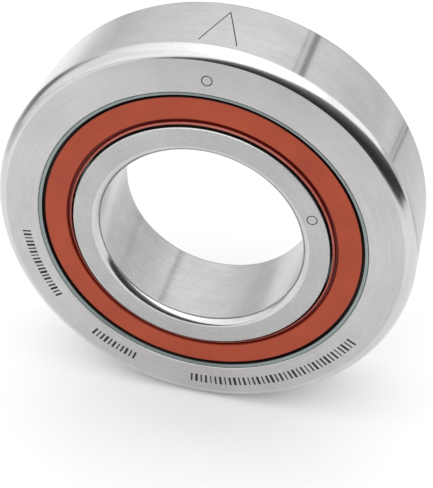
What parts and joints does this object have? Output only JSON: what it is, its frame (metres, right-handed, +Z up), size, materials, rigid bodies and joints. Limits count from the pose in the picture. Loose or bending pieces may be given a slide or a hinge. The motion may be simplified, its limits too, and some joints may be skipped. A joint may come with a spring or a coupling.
{
  "type": "angular contact bearing",
  "caption": "Sealed single-row angular contact ball bearing: plain outer and inner rings, caged balls between them, red rubber seals on both sides.",
  "frame": {"origin": "centre of the bearing: on the bore axis, half way along the width", "axes": "+Y along the bore axis, from the front (marked, high-shoulder) side to the back; +Z up as the bearing stands on its rim; +X to the right seen from the front"},
  "size_m": [0.062, 0.015, 0.062],
  "materials": {
    "outer_ring_steel": "fine ground bearing steel, bright turned corner roundings",
    "inner_ring_steel": "fine ground bearing steel, bright turned corner roundings",
    "ball_steel": "mirror-lapped bearing steel",
    "cage_polyamide": "moulded glass-filled polyamide, dark",
    "seal_rubber": "satin moulded nitrile rubber, brick red",
    "seal_plate_steel": "dull pressed sheet steel"
  },
  "bodies": {
    "outer_body": {"outer_ring": "outer_ring_steel", "front_seal_rubber": "seal_rubber", "front_seal_plate": "seal_plate_steel", "back_seal_rubber": "seal_rubber", "back_seal_plate": "seal_plate_steel"},
    "inner_body": {"inner_ring": "inner_ring_steel"},
    "cage_body": {"cage": "cage_polyamide"},
    "ball_01_body": {"ball_01": "ball_steel"},
    "ball_02_body": {"ball_02": "ball_steel"},
    "ball_03_body": {"ball_03": "ball_steel"},
    "ball_04_body": {"ball_04": "ball_steel"},
    "ball_05_body": {"ball_05": "ball_steel"},
    "ball_06_body": {"ball_06": "ball_steel"},
    "ball_07_body": {"ball_07": "ball_steel"},
    "ball_08_body": {"ball_08": "ball_steel"},
    "ball_09_body": {"ball_09": "ball_steel"},
    "ball_10_body": {"ball_10": "ball_steel"},
    "ball_11_body": {"ball_11": "ball_steel"},
    "ball_12_body": {"ball_12": "ball_steel"},
    "ball_13_body": {"ball_13": "ball_steel"},
    "ball_14_body": {"ball_14": "ball_steel"},
    "ball_15_body": {"ball_15": "ball_steel"},
    "ball_16_body": {"ball_16": "ball_steel"},
    "ball_17_body": {"ball_17": "ball_steel"}
  },
  "joints": [
    {"name": "inner_ring_spin", "type": "hinge", "parent": "outer_body", "child": "inner_body", "pos_m": [0, 0, 0], "axis": [0, 1, 0], "continuous": true},
    {"name": "cage_spin", "type": "hinge", "parent": "outer_body", "child": "cage_body", "pos_m": [0, 0, 0], "axis": [0, 1, 0], "continuous": true},
    {"name": "ball_01_spin", "type": "hinge", "parent": "cage_body", "child": "ball_01_body", "pos_m": [0, 0, 0.023], "axis": [0, 0.5, 0.866], "continuous": true},
    {"name": "ball_02_spin", "type": "hinge", "parent": "cage_body", "child": "ball_02_body", "pos_m": [-0.00831, 0, 0.02145], "axis": [-0.3128, 0.5, 0.8075], "continuous": true},
    {"name": "ball_03_spin", "type": "hinge", "parent": "cage_body", "child": "ball_03_body", "pos_m": [-0.0155, 0, 0.017], "axis": [-0.5834, 0.5, 0.64], "continuous": true},
    {"name": "ball_04_spin", "type": "hinge", "parent": "cage_body", "child": "ball_04_body", "pos_m": [-0.02059, 0, 0.01025], "axis": [-0.7752, 0.5, 0.386], "continuous": true},
    {"name": "ball_05_spin", "type": "hinge", "parent": "cage_body", "child": "ball_05_body", "pos_m": [-0.0229, 0, 0.00212], "axis": [-0.8623, 0.5, 0.0799], "continuous": true},
    {"name": "ball_06_spin", "type": "hinge", "parent": "cage_body", "child": "ball_06_body", "pos_m": [-0.02212, 0, -0.00629], "axis": [-0.833, 0.5, -0.237], "continuous": true},
    {"name": "ball_07_spin", "type": "hinge", "parent": "cage_body", "child": "ball_07_body", "pos_m": [-0.01835, 0, -0.01386], "axis": [-0.6911, 0.5, -0.5219], "continuous": true},
    {"name": "ball_08_spin", "type": "hinge", "parent": "cage_body", "child": "ball_08_body", "pos_m": [-0.01211, 0, -0.01955], "axis": [-0.4559, 0.5, -0.7363], "continuous": true},
    {"name": "ball_09_spin", "type": "hinge", "parent": "cage_body", "child": "ball_09_body", "pos_m": [-0.00423, 0, -0.02261], "axis": [-0.1591, 0.5, -0.8513], "continuous": true},
    {"name": "ball_10_spin", "type": "hinge", "parent": "cage_body", "child": "ball_10_body", "pos_m": [0.00423, 0, -0.02261], "axis": [0.1591, 0.5, -0.8513], "continuous": true},
    {"name": "ball_11_spin", "type": "hinge", "parent": "cage_body", "child": "ball_11_body", "pos_m": [0.01211, 0, -0.01955], "axis": [0.4559, 0.5, -0.7363], "continuous": true},
    {"name": "ball_12_spin", "type": "hinge", "parent": "cage_body", "child": "ball_12_body", "pos_m": [0.01835, 0, -0.01386], "axis": [0.6911, 0.5, -0.5219], "continuous": true},
    {"name": "ball_13_spin", "type": "hinge", "parent": "cage_body", "child": "ball_13_body", "pos_m": [0.02212, 0, -0.00629], "axis": [0.833, 0.5, -0.237], "continuous": true},
    {"name": "ball_14_spin", "type": "hinge", "parent": "cage_body", "child": "ball_14_body", "pos_m": [0.0229, 0, 0.00212], "axis": [0.8623, 0.5, 0.0799], "continuous": true},
    {"name": "ball_15_spin", "type": "hinge", "parent": "cage_body", "child": "ball_15_body", "pos_m": [0.02059, 0, 0.01025], "axis": [0.7752, 0.5, 0.386], "continuous": true},
    {"name": "ball_16_spin", "type": "hinge", "parent": "cage_body", "child": "ball_16_body", "pos_m": [0.0155, 0, 0.017], "axis": [0.5834, 0.5, 0.64], "continuous": true},
    {"name": "ball_17_spin", "type": "hinge", "parent": "cage_body", "child": "ball_17_body", "pos_m": [0.00831, 0, 0.02145], "axis": [0.3128, 0.5, 0.8075], "continuous": true}
  ],
  "couplings": [
    {"joint": "cage_spin", "follows": "inner_ring_spin", "ratio": 0.46117},
    {"joint": "ball_01_spin", "follows": "inner_ring_spin", "ratio": -3.2001},
    {"joint": "ball_02_spin", "follows": "inner_ring_spin", "ratio": -3.2001},
    {"joint": "ball_03_spin", "follows": "inner_ring_spin", "ratio": -3.2001},
    {"joint": "ball_04_spin", "follows": "inner_ring_spin", "ratio": -3.2001},
    {"joint": "ball_05_spin", "follows": "inner_ring_spin", "ratio": -3.2001},
    {"joint": "ball_06_spin", "follows": "inner_ring_spin", "ratio": -3.2001},
    {"joint": "ball_07_spin", "follows": "inner_ring_spin", "ratio": -3.2001},
    {"joint": "ball_08_spin", "follows": "inner_ring_spin", "ratio": -3.2001},
    {"joint": "ball_09_spin", "follows": "inner_ring_spin", "ratio": -3.2001},
    {"joint": "ball_10_spin", "follows": "inner_ring_spin", "ratio": -3.2001},
    {"joint": "ball_11_spin", "follows": "inner_ring_spin", "ratio": -3.2001},
    {"joint": "ball_12_spin", "follows": "inner_ring_spin", "ratio": -3.2001},
    {"joint": "ball_13_spin", "follows": "inner_ring_spin", "ratio": -3.2001},
    {"joint": "ball_14_spin", "follows": "inner_ring_spin", "ratio": -3.2001},
    {"joint": "ball_15_spin", "follows": "inner_ring_spin", "ratio": -3.2001},
    {"joint": "ball_16_spin", "follows": "inner_ring_spin", "ratio": -3.2001},
    {"joint": "ball_17_spin", "follows": "inner_ring_spin", "ratio": -3.2001}
  ]
}
